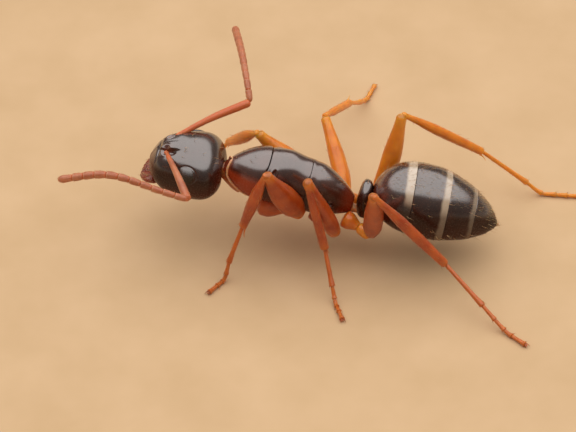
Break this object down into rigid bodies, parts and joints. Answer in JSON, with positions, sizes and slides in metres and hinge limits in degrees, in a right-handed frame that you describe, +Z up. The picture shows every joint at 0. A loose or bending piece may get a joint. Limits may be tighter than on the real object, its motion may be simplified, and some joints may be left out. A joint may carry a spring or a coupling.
{
  "type": "carpenter ant",
  "caption": "Still, life-size carpenter ant worker standing on six legs, with elbowed feelers, one-scale waist and ringed gaster.",
  "frame": {"origin": "on the floor, under the middle of the part's box", "axes": "+Z up; the head is towards -Y and the tip of the gaster towards +Y; the ant's left side is +X"},
  "size_m": [0.0106, 0.0144, 0.0042],
  "materials": {
    "dark_cuticle": "glossy dark brown shell, standing in for chitin",
    "red_brown_cuticle": "satin red-brown shell, standing in for chitin",
    "amber_cuticle": "satin amber shell of the legs, standing in for chitin",
    "feeler_cuticle": "fine downy pinkish brown, standing in for chitin",
    "eye": "glossy black facets"
  },
  "bodies": {
    "root": {"eye_l": "eye", "eye_r": "eye", "funiculus_l_inner": "feeler_cuticle", "funiculus_l_outer": "feeler_cuticle", "funiculus_r_inner": "feeler_cuticle", "funiculus_r_outer": "feeler_cuticle", "gaster_1": "dark_cuticle", "gaster_2": "dark_cuticle", "gaster_3": "dark_cuticle", "gaster_4": "dark_cuticle", "gaster_5": "dark_cuticle", "head": "dark_cuticle", "l_fore_basitarsus": "amber_cuticle", "l_fore_coxa": "red_brown_cuticle", "l_fore_femur": "amber_cuticle", "l_fore_tarsus": "amber_cuticle", "l_fore_tibia": "amber_cuticle", "l_fore_trochanter": "red_brown_cuticle", "l_hind_basitarsus": "amber_cuticle", "l_hind_coxa": "red_brown_cuticle", "l_hind_femur": "amber_cuticle", "l_hind_tarsus": "amber_cuticle", "l_hind_tibia": "amber_cuticle", "l_hind_trochanter": "red_brown_cuticle", "l_mid_basitarsus": "amber_cuticle", "l_mid_coxa": "red_brown_cuticle", "l_mid_femur": "amber_cuticle", "l_mid_tarsus": "amber_cuticle", "l_mid_tibia": "amber_cuticle", "l_mid_trochanter": "red_brown_cuticle", "mandible_l": "red_brown_cuticle", "mandible_r": "red_brown_cuticle", "mesothorax": "dark_cuticle", "petiole": "dark_cuticle", "pronotum": "red_brown_cuticle", "propodeum": "dark_cuticle", "r_fore_basitarsus": "amber_cuticle", "r_fore_coxa": "red_brown_cuticle", "r_fore_femur": "amber_cuticle", "r_fore_tarsus": "amber_cuticle", "r_fore_tibia": "amber_cuticle", "r_fore_trochanter": "red_brown_cuticle", "r_hind_basitarsus": "amber_cuticle", "r_hind_coxa": "red_brown_cuticle", "r_hind_femur": "amber_cuticle", "r_hind_tarsus": "amber_cuticle", "r_hind_tibia": "amber_cuticle", "r_hind_trochanter": "red_brown_cuticle", "r_mid_basitarsus": "amber_cuticle", "r_mid_coxa": "red_brown_cuticle", "r_mid_femur": "amber_cuticle", "r_mid_tarsus": "amber_cuticle", "r_mid_tibia": "amber_cuticle", "r_mid_trochanter": "red_brown_cuticle", "scape_l": "feeler_cuticle", "scape_r": "feeler_cuticle"}
  },
  "joints": []
}
